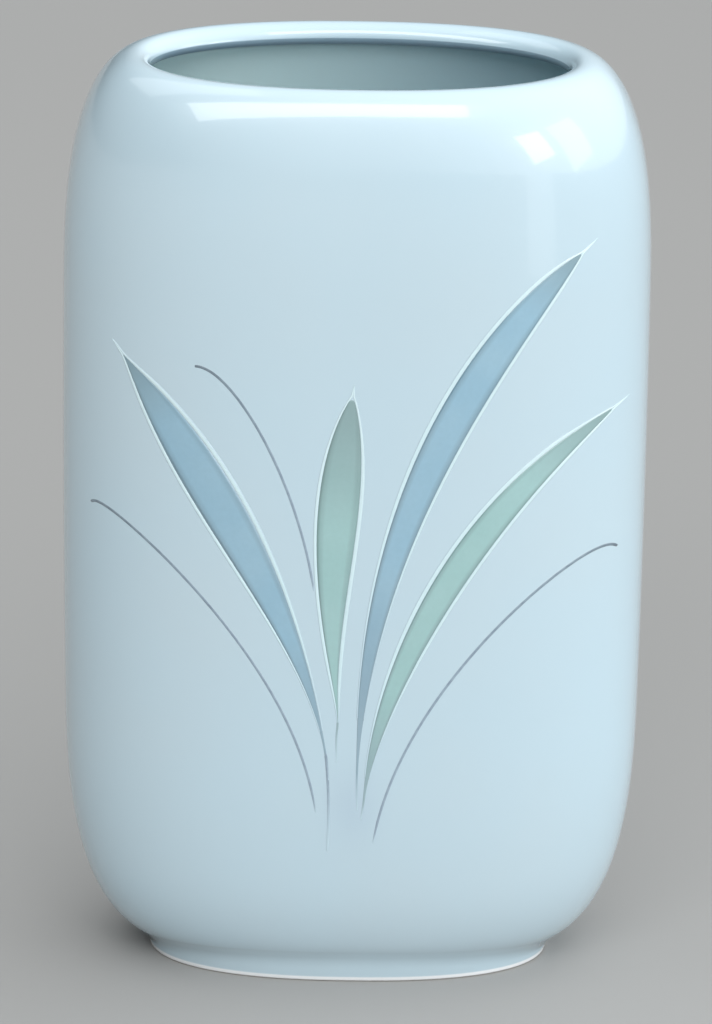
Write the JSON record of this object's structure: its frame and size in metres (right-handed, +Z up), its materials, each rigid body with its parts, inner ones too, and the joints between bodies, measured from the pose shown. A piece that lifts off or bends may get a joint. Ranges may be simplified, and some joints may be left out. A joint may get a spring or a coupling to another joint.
{
  "type": "porcelain vase",
  "caption": "Flattened oval porcelain vase with rounded shoulders, a wide oval mouth, a low foot ring and blue and green grass blades on its front; holds flowers or stands as an ornament.",
  "frame": {"origin": "middle of the foot's tread, on the surface that the vase stands on", "axes": "+Z up, X along the width, the decorated front faces -Y"},
  "size_m": [0.123, 0.0602, 0.2015],
  "materials": {
    "porcelain_glaze": "clear glossy glaze over white porcelain",
    "foot_porcelain": "glossy glaze on the foot's wall, bare matt porcelain on its tread",
    "blue_transfer": "fired blue transfer, glossy",
    "green_transfer": "fired grey-green transfer, glossy",
    "pale_enamel": "pale raised enamel line, glossy",
    "grey_line": "fired grey transfer line, glossy"
  },
  "bodies": {
    "root": {"body": "porcelain_glaze", "foot_ring": "foot_porcelain", "blade_blue_left": "blue_transfer", "blade_green_centre": "green_transfer", "blade_blue_right": "blue_transfer", "blade_green_right": "green_transfer", "outline_blue_left": "pale_enamel", "outline_green_centre": "pale_enamel", "outline_blue_right": "pale_enamel", "outline_green_right": "pale_enamel", "tendril_left_outer": "grey_line", "tendril_left_inner": "grey_line", "tendril_right": "grey_line", "stem_left": "grey_line"}
  },
  "joints": []
}
